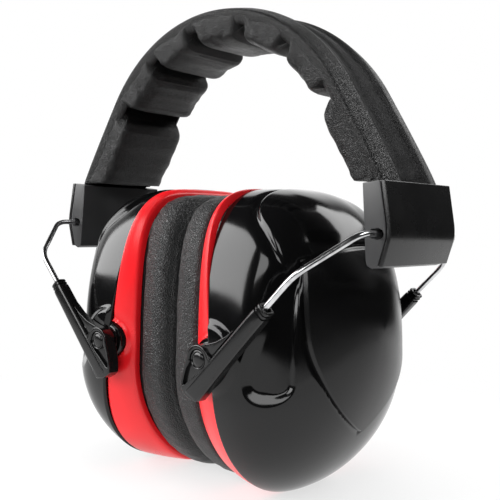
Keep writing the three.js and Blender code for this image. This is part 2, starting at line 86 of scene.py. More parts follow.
HINGE_X, HINGE_Z = 72.6, 89.9
WIRE_RADIUS = 1
WIRE_ANGLE = math.radians(45.5)
WIRE_SIDE_Y = 28.6
LEG_Y = 44
LEG_BEND = 17
WIRE_END = 56
WIRE_BEND_RADIUS = 4
ARM_START = 32.5
ARM_INNER_Y = 41.3
ARM_OUTER_Y = 46
PIVOT_ALONG = 62.7
PIVOT_ABOVE = 5.4
EYE_RADIUS = 4.8
PIN_RADIUS = 2.5
PIN_INNER_Y = 37
BOSS_RADIUS = 6
BOSS_STEP_RADIUS = 4.6
BOSS_INNER_Y = 35.5
BOSS_STEP_Y = 40.2
BOSS_OUTER_Y = 41

# Superellipses in YZ: the cushion's seat on the ring, the ring's seam with the shell, the shell.
FACE_OUTLINE = dict(half=36.1, top=61.5, bottom=41.3, top_power=4.45, bottom_power=1.79, middle=40.45)
SEAM_OUTLINE = dict(half=39.6, top=61.8, bottom=42.6, top_power=3.93, bottom_power=2.3, middle=42)
SHELL_OUTLINE = dict(half=40.6, top=65, bottom=39.6, top_power=2.97, bottom_power=2.18, middle=38.9)
FACE_X = 15.2
SEAM_X = 25.7
SEAM_SLOPE = 0.1246
RING_THICKNESS = 2.4
SHELL_DEPTH_X = 63.4
SHELL_RISE = 23
SHELL_SIDES = (2.8, 0.68)
SHELL_TOP = (3.66, 1.0)
SHELL_BOTTOM = (1.2, 0.46)
CUSHION_FACE_X = 0.6
SHIELD_TOP_HALF = 25.4
SHIELD_TOP_Z = 80
SHIELD_CROWN_Z = 85
SHIELD_HALF = 27.2
SHIELD_SHOULDER_Z = 56
SHIELD_TIP_Z = 24

# ---- small mathematics ----


def lerp(a, b, t):
    return a + (b - a) * t


def ramp(low, high, value):
    """0 below low, 1 above high, and smooth between them."""
    t = np.clip((value - low) / (high - low), 0, 1)
    return t * t * (3 - 2 * t)


def bell(value, width):
    return np.exp(-((value / width) ** 2))


def full_turn(count):
    """Angles spaced evenly round a circle."""
    return np.linspace(0, 2 * PI, count, endpoint=False)


def squarish(value, power):
    """A cosine or sine bent so that a circle becomes a superellipse of that power."""
    return np.sign(value) * np.abs(value) ** (2 / power)


def outline_point(outline, turn, grow=0.0, scale_y=1.0, scale_z=1.0):
    """Points of an outline, grown outwards and then scaled, as (y, height over its middle)."""
    c, s = np.cos(turn), np.sin(turn)
    power = np.where(s > 0, outline["top_power"], outline["bottom_power"])
    height = np.where(s > 0, outline["top"], outline["bottom"]) + grow
    y = (outline["half"] + grow) * squarish(c, power)
    z = height * squarish(s, power)
    return y * scale_y, z * scale_z


OUTLINE_STEPS = 400001


def even_turns(outline, count):
    """The angles of points spaced evenly along an outline, closed."""
    turn = np.linspace(0, 2 * PI, OUTLINE_STEPS)
    y, z = outline_point(outline, turn)
    length = np.concatenate([[0], np.cumsum(np.hypot(np.diff(y), np.diff(z)))])
    return np.interp(np.linspace(0, length[-1], count, endpoint=False), length, turn)


def seam_x(z):
    return SEAM_X - SEAM_SLOPE * (z - SEAM_OUTLINE["middle"])


def bend(start, control, end, t):
    return (1 - t) ** 2 * start + 2 * t * (1 - t) * control + t * t * end


def bezier(start, control, end, count):
    return bend(start, control, end, np.linspace(0, 1, count)[:, None])


def softened(path, times=3):
    """A polyline with its corners cut off, again and again."""
    path = np.array(path, float)
    for _ in range(times):
        near, far = lerp(path[:-1], path[1:], 0.25), lerp(path[:-1], path[1:], 0.75)
        between = np.stack([near, far], 1).reshape(-1, 2)[1:-1]
        path = np.concatenate([path[:1], between, path[-1:]])
    return path


def rounding(inset, radius):
    """How far a rounded edge falls back at a distance in from the edge."""
    from_edge = np.minimum(inset, radius)
    return radius - np.sqrt(np.maximum(radius**2 - (radius - from_edge) ** 2, 0))


def distance_to_path(x, z, path):
    """Distance of points to a polyline, positive on its left."""
    best = np.full(x.shape, 1e9)
    side = np.zeros(x.shape)
    for (x0, z0), (x1, z1) in zip(path[:-1], path[1:]):
        dx, dz = x1 - x0, z1 - z0
        t = np.clip(((x - x0) * dx + (z - z0) * dz) / (dx * dx + dz * dz), 0, 1)
        away = np.hypot(x - x0 - t * dx, z - z0 - t * dz)
        nearer = away < best
        best = np.where(nearer, away, best)
        side = np.where(nearer, np.sign(dx * (z - z0) - dz * (x - x0)), side)
    return best * side


# ---- meshes ----


def grid(points, close_rows=False, flip=False):
    """Quads over an array of rows of points, each row a closed loop, as (points, faces)."""
    rows, columns = points.shape[:2]
    faces = []
    for i in range(rows if close_rows else rows - 1):
        for j in range(columns):
            k, m = (i + 1) % rows, (j + 1) % columns
            face = (i * columns + j, i * columns + m, k * columns + m, k * columns + j)
            faces.append(face[::-1] if flip else face)
    return points.reshape(-1, 3), faces


def capped(points):
    """A grid whose first and last rows are closed by a face each."""
    vertices, faces = grid(points)
    rows, columns = points.shape[:2]
    last = (rows - 1) * columns
    return vertices, faces + [tuple(range(columns))[::-1], tuple(range(last, last + columns))]


def lathe_y(profile, x, z, end, segments=64):
    """A round body on an axis along Y; profile points are (radius, distance from the middle)."""
    turn = full_turn(segments)
    rows = [np.stack([x + r * np.cos(turn), np.full(segments, end * y), z + r * np.sin(turn)], -1)
            for r, y in profile]
    return capped(np.array(rows))


MERGE_DISTANCE = 1e-6


def mesh_of(name, parts):
    """One mesh from several (points, faces) in millimetres, its faces turned outwards."""
    vertices, faces = [], []
    for points, quads in parts:
        first = len(vertices)
        vertices.extend(tuple(p) for p in np.asarray(points, float) * MM)
        faces.extend(tuple(first + i for i in face) for face in quads)
    mesh = bpy.data.meshes.new(name)
    mesh.from_pydata(vertices, [], faces)
    work = bmesh.new()
    work.from_mesh(mesh)
    bmesh.ops.remove_doubles(work, verts=work.verts, dist=MERGE_DISTANCE)
    bmesh.ops.recalc_face_normals(work, faces=work.faces)
    work.to_mesh(mesh)
    work.free()
    return mesh


def part_of(mesh, unit=MM):
    """A mesh's (points, faces), from its own unit to millimetres."""
    return np.array([v.co for v in mesh.vertices]) / unit, [tuple(p.vertices) for p in mesh.polygons]


def mirrored(parts, side):
    if side > 0:
        return parts
    return [(np.asarray(points) * (-1, 1, 1), [face[::-1] for face in faces]) for points, faces in parts]


def new_object(name, data):
    obj = bpy.data.objects.new(name, data)
    bpy.context.collection.objects.link(obj)
    return obj


def piece(name, parts, material, body, replaces=(), smooth_angle=35):
    mesh = mesh_of(name, parts)
    mesh.materials.append(material)
    obj = new_object(name, mesh)
    shade(obj, smooth_angle)
    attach(obj, body)
    if replaces:
        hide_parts(*replaces)
    return obj


def shade(obj, angle):
    """Smooth shading, with edges sharper than an angle kept crisp."""
    mesh = obj.data
    mesh.shade_smooth()
    work = bmesh.new()
    work.from_mesh(mesh)
    limit = math.radians(angle)
    for edge in work.edges:
        edge.smooth = len(edge.link_faces) != 2 or edge.calc_face_angle() < limit
    work.to_mesh(mesh)
    work.free()


def bake(obj):
    """Apply an object's modifiers to its mesh."""
    graph = bpy.context.evaluated_depsgraph_get()
    mesh = bpy.data.meshes.new_from_object(obj.evaluated_get(graph))
    obj.modifiers.clear()
    obj.data = mesh


def plate(outer, holes, low, high, bevel, to_world):
    """A bevelled flat plate from outlines in its own plane, placed by to_world(a, b, height)."""
    curve = bpy.data.curves.new("outline", "CURVE")
    curve.dimensions = "2D"
    curve.fill_mode = "BOTH"
    curve.extrude = (high - low) / 2 - bevel
    curve.bevel_depth = bevel
    curve.bevel_resolution = 3
    curve.offset = -bevel
    for line in (outer, *holes):
        spline = curve.splines.new("POLY")
        spline.points.add(len(line) - 1)
        for point, (a, b) in zip(spline.points, line):
            point.co = (a, b, 0, 1)
        spline.use_cyclic_u = True
    obj = new_object("outline", curve)
    graph = bpy.context.evaluated_depsgraph_get()
    mesh = bpy.data.meshes.new_from_object(obj.evaluated_get(graph))
    points, faces = part_of(mesh, unit=1)
    bpy.data.objects.remove(obj)
    bpy.data.meshes.remove(mesh)
    middle = (high + low) / 2
    placed = to_world(points[:, 0], points[:, 1], points[:, 2] + middle)
    return placed, faces


PRESSURE = 60
FRAMES = 20
NEIGHBOURS = 6  # how many points of the skin move each point of the part
NEAREST = 0.3  # added to their distances


def swelled(part, voxel, limit):
    """A closed part with its skin blown up by a cloth simulation, moved by up to limit."""
    points, faces = part
    obj = new_object("skin", mesh_of("skin", [part]))
    remesh = obj.modifiers.new("remesh", "REMESH")
    remesh.mode = "VOXEL"
    remesh.voxel_size = voxel * MM
    bake(obj)
    rest = part_of(obj.data)[0]
    cloth = obj.modifiers.new("cloth", "CLOTH")
    cloth.settings.use_pressure = True
    cloth.settings.uniform_pressure_force = PRESSURE
    cloth.settings.effector_weights.gravity = 0
    for frame_number in range(1, FRAMES + 1):
        bpy.context.scene.frame_set(frame_number)
    bake(obj)
    shift = part_of(obj.data)[0] - rest
    bpy.data.objects.remove(obj)
    bpy.context.scene.frame_set(1)
    reach = np.linalg.norm(shift, axis=1, keepdims=True)
    shift *= np.minimum(reach, limit) / np.maximum(reach, 1e-9)
    tree = KDTree(len(rest))
    for i, place in enumerate(rest):
        tree.insert(place, i)
    tree.balance()
    moved = []
    for point in points:
        near = tree.find_n(point, NEIGHBOURS)
        weights = np.array([1 / (distance + NEAREST) for _, _, distance in near])
        moved.append(point + weights @ shift[[i for _, i, _ in near]] / weights.sum())
    return np.array(moved), faces


# ---- materials ----


def put(tree, socket, value):
    """Link an input to another node's output, or set it to a value."""
    if isinstance(value, bpy.types.NodeSocket):
        tree.links.new(value, socket)
    else:
        socket.default_value = value


def fill(tree, node, **inputs):
    for name, value in inputs.items():
        put(tree, node.inputs[name.replace("_", " ")], value)


def node_in(tree, kind, **inputs):
    node = tree.nodes.new(kind)
    fill(tree, node, **inputs)
    return node


def new_material(name, color, roughness, **inputs):
    material = bpy.data.materials.new(name)
    material.use_nodes = True
    tree = material.node_tree
    shader = tree.nodes["Principled BSDF"]
    fill(tree, shader, Base_Color=(*color, 1), Roughness=roughness, **inputs)
    return material, tree, shader


def place_in(tree):
    return tree.nodes.new("ShaderNodeTexCoord").outputs["Object"]


def noise_in(tree, vector, scale, detail=3.0, roughness=0.5):
    node = node_in(tree, "ShaderNodeTexNoise", Vector=vector, Scale=scale, Detail=detail,
                   Roughness=roughness)
    return node.outputs["Fac"]


def ranged(tree, value, low, high, from_low=0.3, from_high=0.7):
    node = node_in(tree, "ShaderNodeMapRange", Value=value, From_Min=from_low, From_Max=from_high,
                   To_Min=low, To_Max=high)
    return node.outputs["Result"]


def colours(tree, value, stops):
    node = node_in(tree, "ShaderNodeValToRGB", Fac=value)
    elements = node.color_ramp.elements
    while len(elements) < len(stops):
        elements.new(0.5)
    for element, (place, color) in zip(elements, stops):
        element.position = place
        element.color = (*color, 1)
    return node.outputs["Color"]


def bumped(tree, height, strength, distance, below=None):
    """A bump of a height in millimetres, on top of the one below."""
    node = node_in(tree, "ShaderNodeBump", Height=height, Strength=strength, Distance=distance * MM)
    if below is not None:
        tree.links.new(below, node.inputs["Normal"])
    return node.outputs["Normal"]


def mixed(tree, operation, *values):
    node = tree.nodes.new("ShaderNodeMath")
    node.operation = operation
    for socket, value in zip(node.inputs, values):
        put(tree, socket, value)
    return node.outputs["Value"]


def shaded(color, share):
    return tuple(share * c for c in color)


def moulded_plastic(name, color, roughness, spread, texture, ior=1.5):
    """Moulded plastic: a little uneven in gloss, with a faint surface texture."""
    material, tree, shader = new_material(name, color, roughness, IOR=ior)
    vector = place_in(tree)
    smudges = noise_in(tree, vector, scale=60, detail=5, roughness=0.6)
    rough = ranged(tree, smudges, roughness - spread, roughness + spread)
    clouds = noise_in(tree, vector, scale=25, detail=2)
    tone = colours(tree, clouds, [(0.35, shaded(color, 0.82)), (0.65, shaded(color, 1.15))])
    fine = noise_in(tree, vector, scale=2600, detail=2)
    normal = bumped(tree, fine, texture, distance=0.02)
    fill(tree, shader, Base_Color=tone, Roughness=rough, Normal=normal)
    return material


PEBBLE_HEIGHT = 0.12
PEBBLE_WOBBLE = 0.0008  # how far, in metres, the lines between the cells are bent


def leatherette(name, color, roughness, cell, depth, wrinkle, sheen):
    """Pebbled leatherette: rounded cells parted by fine creases, over faint broad wrinkles."""
    material, tree, shader = new_material(name, color, roughness, Specular_IOR_Level=sheen)
    vector = place_in(tree)
    wobble = node_in(tree, "ShaderNodeTexNoise", Vector=vector, Scale=350)
    bent = tree.nodes.new("ShaderNodeVectorMath")
    bent.operation = "MULTIPLY_ADD"
    for socket, value in zip(bent.inputs, (wobble.outputs["Color"], [PEBBLE_WOBBLE] * 3, vector)):
        put(tree, socket, value)
    bent = bent.outputs["Vector"]
    cells = node_in(tree, "ShaderNodeTexVoronoi", Vector=bent, Scale=1000 / cell)
    cells.feature = "DISTANCE_TO_EDGE"
    pebble = ranged(tree, cells.outputs["Distance"], 0, 1, from_low=0, from_high=0.28)
    folds = noise_in(tree, bent, scale=800, detail=4, roughness=0.6)
    broad = bumped(tree, folds, wrinkle, distance=0.5)
    normal = bumped(tree, pebble, 1.0, PEBBLE_HEIGHT * depth, broad)
    # Painted shade: the colour darkens to a fifth of itself in the creases between the cells, where the
    # surface lies low.
    tone = colours(tree, pebble, [(0.0, shaded(color, 0.2)), (0.6, color)])
    worn = ranged(tree, noise_in(tree, vector, scale=90), -0.06, 0.06)
    dull_crease = ranged(tree, pebble, 0.16, 0, from_low=0, from_high=1)
    rough = mixed(tree, "ADD", mixed(tree, "ADD", worn, dull_crease), roughness)
    fill(tree, shader, Base_Color=tone, Roughness=rough, Normal=normal)
    return material


def drawn_steel(name, color, roughness):
    """Bright steel, unevenly polished, with small dull spots."""
    material, tree, shader = new_material(name, color, roughness, Metallic=1.0)
    vector = place_in(tree)
    polish = noise_in(tree, vector, scale=160)
    rough = ranged(tree, polish, roughness - 0.05, roughness + 0.1)
    spots = noise_in(tree, vector, scale=260, detail=4)
    tone = colours(tree, spots, [(0.25, shaded(color, 0.6)), (0.6, color)])
    normal = bumped(tree, polish, 0.15, distance=0.05)
    fill(tree, shader, Base_Color=tone, Roughness=rough, Normal=normal)
    return material


def open_foam(name, color):
    material, tree, shader = new_material(name, color, roughness=0.95)
    cells = node_in(tree, "ShaderNodeTexVoronoi", Vector=place_in(tree), Scale=900)
    hole = ranged(tree, cells.outputs["Distance"], 1, 0, from_low=0.1, from_high=0.55)
    # Painted shade: the colour darkens to about a third where the surface lies lowest, at the cells'
    # borders.
    tone = colours(tree, hole, [(0.0, shaded(color, 0.35)), (0.8, color)])
    fill(tree, shader, Base_Color=tone, Normal=bumped(tree, hole, 0.8, distance=0.6))
    return material


# Plastics: colour, roughness and how far it varies, strength of the texture, index of refraction.
GLOSS_BLACK = moulded_plastic("gloss_black_plastic", (0.0025, 0.0025, 0.0027), 0.12, 0.03, 0.02, 1.45)
SHIELD_BLACK = moulded_plastic("shield_black_plastic", (0.0025, 0.0025, 0.0027), 0.24, 0.03, 0.02, 1.45)
ARM_BLACK = moulded_plastic("arm_black_plastic", (0.004, 0.004, 0.0042), 0.2, 0.05, 0.06)
SATIN_BLACK = moulded_plastic("satin_black_plastic", (0.034, 0.034, 0.035), 0.32, 0.05, 0.2)
PLATE_BLACK = moulded_plastic("plate_black_plastic", (0.005, 0.005, 0.0052), 0.26, 0.05, 0.12)
RED = moulded_plastic("gloss_red_plastic", (0.92, 0.012, 0.018), 0.3, 0.04, 0.03)
# Leatherettes: colour, roughness, cell size, depth of the creases, strength of the wrinkles, sheen.
GRAIN = leatherette("grained_leatherette", (0.014, 0.0145, 0.015), 0.36, 0.72, 1.4, 0.1, 0.6)
PAD_SKIN = leatherette("pad_leatherette", (0.004, 0.004, 0.0042), 0.33, 0.6, 1.1, 0.25, 0.4)
COVER_SKIN = leatherette("cover_leatherette", (0.008, 0.008, 0.0083), 0.4, 0.6, 0.7, 0.16, 0.06)
STEEL = drawn_steel("bright_steel_wire", (0.72, 0.72, 0.73), 0.16)
SPRING = drawn_steel("spring_steel", (0.4, 0.41, 0.43), 0.3)
FOAM = open_foam("dark_foam", (0.06, 0.06, 0.064))

# ---- headband ----


def crown_point(angle):
    outward = np.array([math.sin(angle), math.cos(angle)])
    return outward * CROWN_RADIUS + (0, CROWN_CENTRE_Z), outward


def leg_points():
    """Start, control and end of the seam line's flared leg."""
    start = crown_point(CROWN_HALF_ANGLE)[0]
    along = np.array([math.cos(CROWN_HALF_ANGLE), -math.sin(CROWN_HALF_ANGLE)])
    up = np.array([-math.sin(LEG_END_TILT), math.cos(LEG_END_TILT)])
    chord = LEG_END - start
    reach = (chord[0] * up[1] - chord[1] * up[0]) / (along[0] * up[1] - along[1] * up[0])
    return start, start + along * reach, LEG_END


LEG = leg_points()
LEG_CURVE = bezier(*LEG, 400)
LEG_LENGTH = float(np.hypot(*np.diff(LEG_CURVE, axis=0).T).sum())


def seam_point(run):
    """Place and outward direction on the seam line: 0 crown, 1 arc's end, 2 end cap, then straight on."""
    half = abs(run)
    if half <= 1:
        point, outward = crown_point(half * CROWN_HALF_ANGLE)
    else:
        t = min(half - 1, 1)
        start, control, end = LEG
        point = bend(start, control, end, t)
        tangent = (1 - t) * (control - start) + t * (end - control)
        tangent = tangent / np.hypot(*tangent)
        outward = np.array([-tangent[1], tangent[0]])
        point = point + tangent * max(half - 2, 0) * LEG_LENGTH
    flip = np.array([-1 if run < 0 else 1, 1])
    return point * flip, outward * flip


BAND_STEPS = 240


def swept(section_at, reach, lowest):
    """The section of (across, outward) points at each run, carried along the seam line."""
    rows = []
    for run in np.linspace(-reach, reach, BAND_STEPS):
        point, outward = seam_point(run)
        across, out = section_at(run)
        rows.append(np.stack([point[0] + outward[0] * out, across, point[1] + outward[1] * out], -1))
    rows = np.array(rows)
    rows[..., 2] = np.maximum(rows[..., 2], lowest)
    return capped(rows)


# The leather strip along each edge of the band, as (across, outward): over the cover's shoulder,
# round the edge, and down the pads' sides, where the grooves show in it only as dimples.
STRIP_SECTION = [(13.4, 0.3), (9.0, 1.2), (8.6, 2.5), (9.3, 3.05), (13.0, 2.25), (16.3, 1.45), (16.95, 0.7),
                 (16.55, -1.0), (15.9, -2.6), (15.0, -3.6), (14.0, -3.6), (13.4, 0.3)]


def edge_strips():
    across, out = softened(STRIP_SECTION, 2)[:-1].T
    for name, end in ENDS:
        strip = swept(lambda run: (end * across, out), 2 - GAP / LEG_LENGTH, CAP_TOP_Z + 0.1)
        piece(f"headband_strip_{name}", [strip], PAD_SKIN, "headband",
              smooth_angle=50)


# The cover's outer face from the middle to an edge, as (share of the half width, height).
COVER_PROFILE = [(0, 2.45), (0.12, 2.4), (0.27, 2.0), (0.36, 2.15), (0.47, 2.85), (0.55, 2.8), (1, 1.2)]
COVER_HALF_WIDTH = BAND_HALF_WIDTH - 0.3
COVER_EDGE_ROUND = 0.9
COVER_TUCK = 3.0  # how far it goes on into the end cap
COVER_SOFTNESS = 9  # how many points of the profile are averaged into one


def cover_section():
    """The cover's section: a low middle ridge, two valleys and two sloping shoulders."""
    share = np.linspace(-1, 1, 121)
    height = np.interp(np.abs(share), *zip(*COVER_PROFILE))
    kernel = np.full(COVER_SOFTNESS, 1 / COVER_SOFTNESS)
    height = np.convolve(np.pad(height, COVER_SOFTNESS // 2, mode="edge"), kernel, "valid")
    inset = COVER_HALF_WIDTH * (1 - np.abs(share))
    height = np.maximum(height - rounding(inset, COVER_EDGE_ROUND), 0.3)
    top = np.stack([share * COVER_HALF_WIDTH, height], -1)
    under = np.stack([np.linspace(1, -1, 21) * (COVER_HALF_WIDTH - 0.5), np.zeros(21)], -1)
    return np.concatenate([top, under])


def headband_cover():
    across, height = cover_section().T

    def uneven(run):
        """The section with the faint waves that a skin over padding has."""
        arc = run * 30
        wave = 0.12 * np.sin(arc * 0.55 + across * 0.35) * np.sin(arc * 0.21 - across * 0.2)
        return across, height + wave * ramp(0.5, 2.0, height)

    skin = swept(uneven, 2 + COVER_TUCK / LEG_LENGTH, CAP_TOP_Z - 0.6)
    piece("headband_cover_skin", [skin], COVER_SKIN, "headband",
          ["headband_cover"], 60)


def pad_runs():
    """Where the pads lie on the seam line, from the crown to one end."""
    arc = CROWN_RADIUS * CROWN_HALF_ANGLE
    half = PAD_SPACE / 2
    first, second = (angle / CROWN_HALF_ANGLE for angle in GROOVE_ANGLES[:2])
    step, leg_step = half / arc, half / LEG_LENGTH
    return [
        (-first + step, first - step),
        (first + step, second - step),
        (second + step, 1 - step),
        (1 + leg_step, 2 - PAD_END_SPACE / LEG_LENGTH),
    ]


PAD_ROWS, PAD_COLUMNS = 72, 120
PAD_END_ROUND = 3.8
PAD_VOXEL = 2.0
PAD_SWELL = 0.7
PAD_START = -0.5  # its hidden top, below the seam line
PAD_EDGE = 1.25  # how far the skin beside the cover stands out beyond the pads' undersides
PAD_MEET = 0.69  # how far each pad reaches into the groove beside the cover
PAD_DIMPLE = 2.0  # how far its sides draw in beside a groove
PAD_PIPING = 0.3  # how far the raised lines on its underside stand out
PIPING_PLACE = 1.9  # their distance from its ends


def pad_creases(at, across, depth, phase):
    """Faint creases in a pad's leather; at is the distance along the band."""
    crease = 0.16 * np.sin(at / 2.1 + across * 2 + phase[0]) * np.sin(depth * 8 + phase[1])
    crease += 0.10 * np.sin(at / 0.9 + phase[2]) * np.sin(depth * 15 + at / 4 + phase[3])
    return crease


def pad_shape(start, end, seed, span):
    """A crowned pad: loops round its section, from one end to the other, pinched at the grooves."""
    turn = full_turn(PAD_COLUMNS) + PI / PAD_COLUMNS
    across = squarish(np.cos(turn), 9.0)
    depth = (1 - squarish(np.sin(turn), 6.0)) / 2
    phase = np.random.default_rng(seed).uniform(0, 2 * PI, 4)
    length = span / abs(end - start)
    reach_in = lerp(PAD_MEET, -0.5, ramp(0.28, 0.55, depth)) - 0.8 * ramp(0.75, 1.0, depth)
    rows = []
    for place in np.sin(np.linspace(-PI / 2, PI / 2, PAD_ROWS)):
        from_end = (1 - abs(place)) * span / 2
        fall = rounding(from_end, PAD_END_ROUND)
        near_end = ramp(0.6, 1.0, abs(place))
        run = (start + end) / 2 + place * ((end - start) / 2 + reach_in / length)
        point, outward = (np.array(pair) for pair in zip(*map(seam_point, run)))
        crease = pad_creases(run * length, across, depth, phase)
        dimple = PAD_DIMPLE * near_end**3 * bell(depth - 0.5, 0.26)
        crown = 1 - 0.08 * across**4 - 0.05 * near_end
        piping = PAD_PIPING * bell(from_end - PIPING_PLACE, 0.5) * ramp(0.8, 1.0, depth)
        thick = PAD_START + depth * ((PAD_THICKNESS + 0.2) * crown + crease - fall + piping)
        side = PAD_HALF_WIDTH + PAD_EDGE * (1 - depth) ** 1.5 + crease - dimple
        side = across * (side - 0.8 * fall * ramp(0.1, 0.6, depth))
        x, z = (point - outward * thick[:, None]).T
        rows.append(np.stack([x, side, z], -1))
    return np.array(rows)


def headband_pads():
    shapes = []
    for i, (start, end) in enumerate(pad_runs()):
        on_leg = start > 1
        span = (end - start) * (LEG_LENGTH if on_leg else CROWN_RADIUS * CROWN_HALF_ANGLE)
        rows = pad_shape(start, end, i, span)
        rows[..., 2] = np.maximum(rows[..., 2], CAP_TOP_Z + 0.3)
        shapes.append(swelled(capped(rows), PAD_VOXEL, PAD_SWELL))
    middle = len(shapes)
    for i, shape in enumerate(shapes):
        for side in (1,) if i == 0 else (-1, 1):
            number = middle + side * i
            pad = piece(f"headband_pad_skin_{number}", mirrored([shape], side), PAD_SKIN, "headband",
                        [f"headband_pad_{number}"], 50)


# ---- end caps ----


def slab(outline, half_width, bevel, cutters=()):
    """A bevelled slab along Y from an outline in XZ, as (points, faces)."""
    work = bmesh.new()
    ends = [[work.verts.new((x * MM, y * MM, z * MM)) for x, z in outline]
            for y in (-half_width, half_width)]
    work.faces.new(ends[0])
    work.faces.new(ends[1][::-1])
    for i in range(len(outline)):
        j = (i + 1) % len(outline)
        work.faces.new((ends[0][i], ends[1][i], ends[1][j], ends[0][j]))
    bmesh.ops.recalc_face_normals(work, faces=work.faces)
    bmesh.ops.bevel(work, geom=work.edges[:], offset=bevel * MM, segments=3, profile=0.6,
                    affect="EDGES", clamp_overlap=True)
    mesh = bpy.data.meshes.new("slab")
    work.to_mesh(mesh)
    work.free()
    obj = new_object("slab", mesh)
    for cutter in cutters:
        tool = new_object("cutter", mesh_of("cutter", [cutter]))
        cut = obj.modifiers.new("cut", "BOOLEAN")
        cut.object = tool
        cut.solver = "EXACT"
        bake(obj)
        bpy.data.objects.remove(tool)
    part = part_of(obj.data)
    bpy.data.objects.remove(obj)
    return part


CAP_KNEE_ROUND = 0.25  # the share of each side that the knee's round takes up
CAP_BEVEL, CAP_COVER_BEVEL = 0.4, 0.3


def cap_seam():
    """The bent line between casing and cover, its knee a little round."""
    top = np.array([CAP_SEAM_X, CAP_TOP_Z])
    knee = np.array([CAP_SEAM_X + CAP_KNEE_OUT, CAP_KNEE_Z])
    bottom = np.array([CAP_SEAM_X, CAP_BOTTOM_Z])
    start, stop = lerp(top, knee, 1 - CAP_KNEE_ROUND), lerp(knee, bottom, CAP_KNEE_ROUND)
    return [top, *bezier(start, knee, stop, 9), bottom]


def end_caps():
    # The wire's hole, and holes beside it that make its mouth an oblong pocket.
    through = [(1.5, 0), (1.5, 19.2), (1.9, 20.4)]
    pocket = [(1.3, 17.0), (1.3, 19.3), (1.7, 20.4)]
    holes = [lathe_y(through, HINGE_X, HINGE_Z, end, 32) for _, end in ENDS]
    holes += [lathe_y(pocket, HINGE_X + shift, HINGE_Z, end, 32) for _, end in ENDS
              for shift in (-1.4, -0.7, 0.7)]
    seam = cap_seam()
    casing = [
        *seam,
        (CAP_INNER_BOTTOM_X + 2.2, CAP_BOTTOM_Z - 0.8),
        (CAP_INNER_BOTTOM_X + 0.5, CAP_BOTTOM_Z),
        (CAP_INNER_BOTTOM_X, CAP_BOTTOM_Z + 1.6),
        (CAP_INNER_TOP_X, CAP_TOP_Z - 0.8),
    ]
    casing_part = slab(casing, CAP_HALF_WIDTH, CAP_BEVEL, holes)
    outer = [p + (CAP_COVER_THICKNESS, 0) for p in seam]
    inner = [p + (GAP, 0) for p in seam][::-1]
    cover_part = slab([*outer, *inner], CAP_HALF_WIDTH, CAP_COVER_BEVEL)
    for name, side in SIDES:
        piece(f"cap_casing_{name}", mirrored([casing_part], side), SATIN_BLACK, "headband",
              [f"end_cap_casing_{name}"], 40)
        piece(f"cap_cover_{name}", mirrored([cover_part], side), PLATE_BLACK, "headband",
              [f"end_cap_cover_{name}"], 40)


# ---- wire yokes and arms ----


def from_leg(along, y, above):
    """Places given in a leg's own axes, in the frame."""
    c, s = math.cos(WIRE_ANGLE), math.sin(WIRE_ANGLE)
    along, y, above = np.broadcast_arrays(along, y, above)
    return np.stack([HINGE_X - along * c - above * s, y, HINGE_Z - along * s + above * c], -1)


PIVOT_X, _, PIVOT_Z = from_leg(PIVOT_ALONG, 0.0, PIVOT_ABOVE)


def wire_path():
    """The bent wire's centre line, as (place along the legs, Y)."""
    corners = np.array([
        (WIRE_END, -LEG_Y), (LEG_BEND, -LEG_Y), (0, -WIRE_SIDE_Y),
        (0, WIRE_SIDE_Y), (LEG_BEND, LEG_Y), (WIRE_END, LEG_Y),
    ], float)
    path = [corners[0]]
    for before, corner, after in zip(corners[:-2], corners[1:-1], corners[2:]):
        back = corner + (before - corner) / np.hypot(*(before - corner)) * WIRE_BEND_RADIUS
        on = corner + (after - corner) / np.hypot(*(after - corner)) * WIRE_BEND_RADIUS
        path.extend(bezier(back, corner, on, 12))
    path.append(corners[-1])
    return np.array(path)


def wire_part():
    path = wire_path()
    tangent = np.gradient(path, axis=0)
    tangent /= np.hypot(*tangent.T)[:, None]
    turn = full_turn(24)
    rows = []
    for (along, y), (ta, ty) in zip(path, tangent):
        sideways = WIRE_RADIUS * np.cos(turn)
        rows.append(from_leg(along - ty * sideways, y + ta * sideways, WIRE_RADIUS * np.sin(turn)))
    return capped(np.array(rows))


def arc(centre, radius, start, stop, count):
    """Points on an arc, with its angles in degrees."""
    turn = np.radians(np.linspace(start, stop, count))
    return [(centre[0] + radius * math.cos(t), centre[1] + radius * math.sin(t)) for t in turn]


BAR_LOW = -2.75  # the bar's lower edge at its upper end, measured from the wire's line
BAR_HIGH = 2.3
BAR_SLOPE = -0.034  # how the lower edge falls away towards the eye
BAR_POWER = 4.2  # how square its section is
BAR_TAIL = (66, 72)  # where its end starts and stops to slant
TAIL_END = 74.9

# The bar's collar, grooves and shank, as (place along the leg, share of its full size).
BAR_STATIONS = [
    (33.4, 0.44), (31.5, 0.52), (31.3, 0.6), (31.3, 0.84), (31.5, 0.92), (32.0, 0.94), (32.2, 0.82),
    (32.6, 0.82), (32.8, 0.95), (33.2, 0.95), (33.4, 0.82), (33.8, 0.82), (34.1, 0.98),
    *[(along, 1.0) for along in np.linspace(35, 71.2, 19)], (71.9, 0.98), (72.1, 0.93),
]


def arm_bar(end):
    """The round-edged bar that the wire runs into, with its collar and its square-cut tail."""
    turn = full_turn(48)
    sideways, upwards = squarish(np.cos(turn), BAR_POWER), squarish(np.sin(turn), BAR_POWER)
    middle_y = (ARM_INNER_Y + ARM_OUTER_Y) / 2
    half_y = (ARM_OUTER_Y - ARM_INNER_Y) / 2
    rows = []
    for along, share in BAR_STATIONS:
        low = BAR_LOW + BAR_SLOPE * (along - ARM_START)
        half = (BAR_HIGH - low) / 2
        above = (BAR_HIGH + low) / 2 + half * share * upwards
        y = end * (middle_y + half_y * share * sideways)
        slant = 0.35 * (above - low) * ramp(*BAR_TAIL, along)
        rows.append(from_leg(along + slant, y, above))
    return capped(np.array(rows))


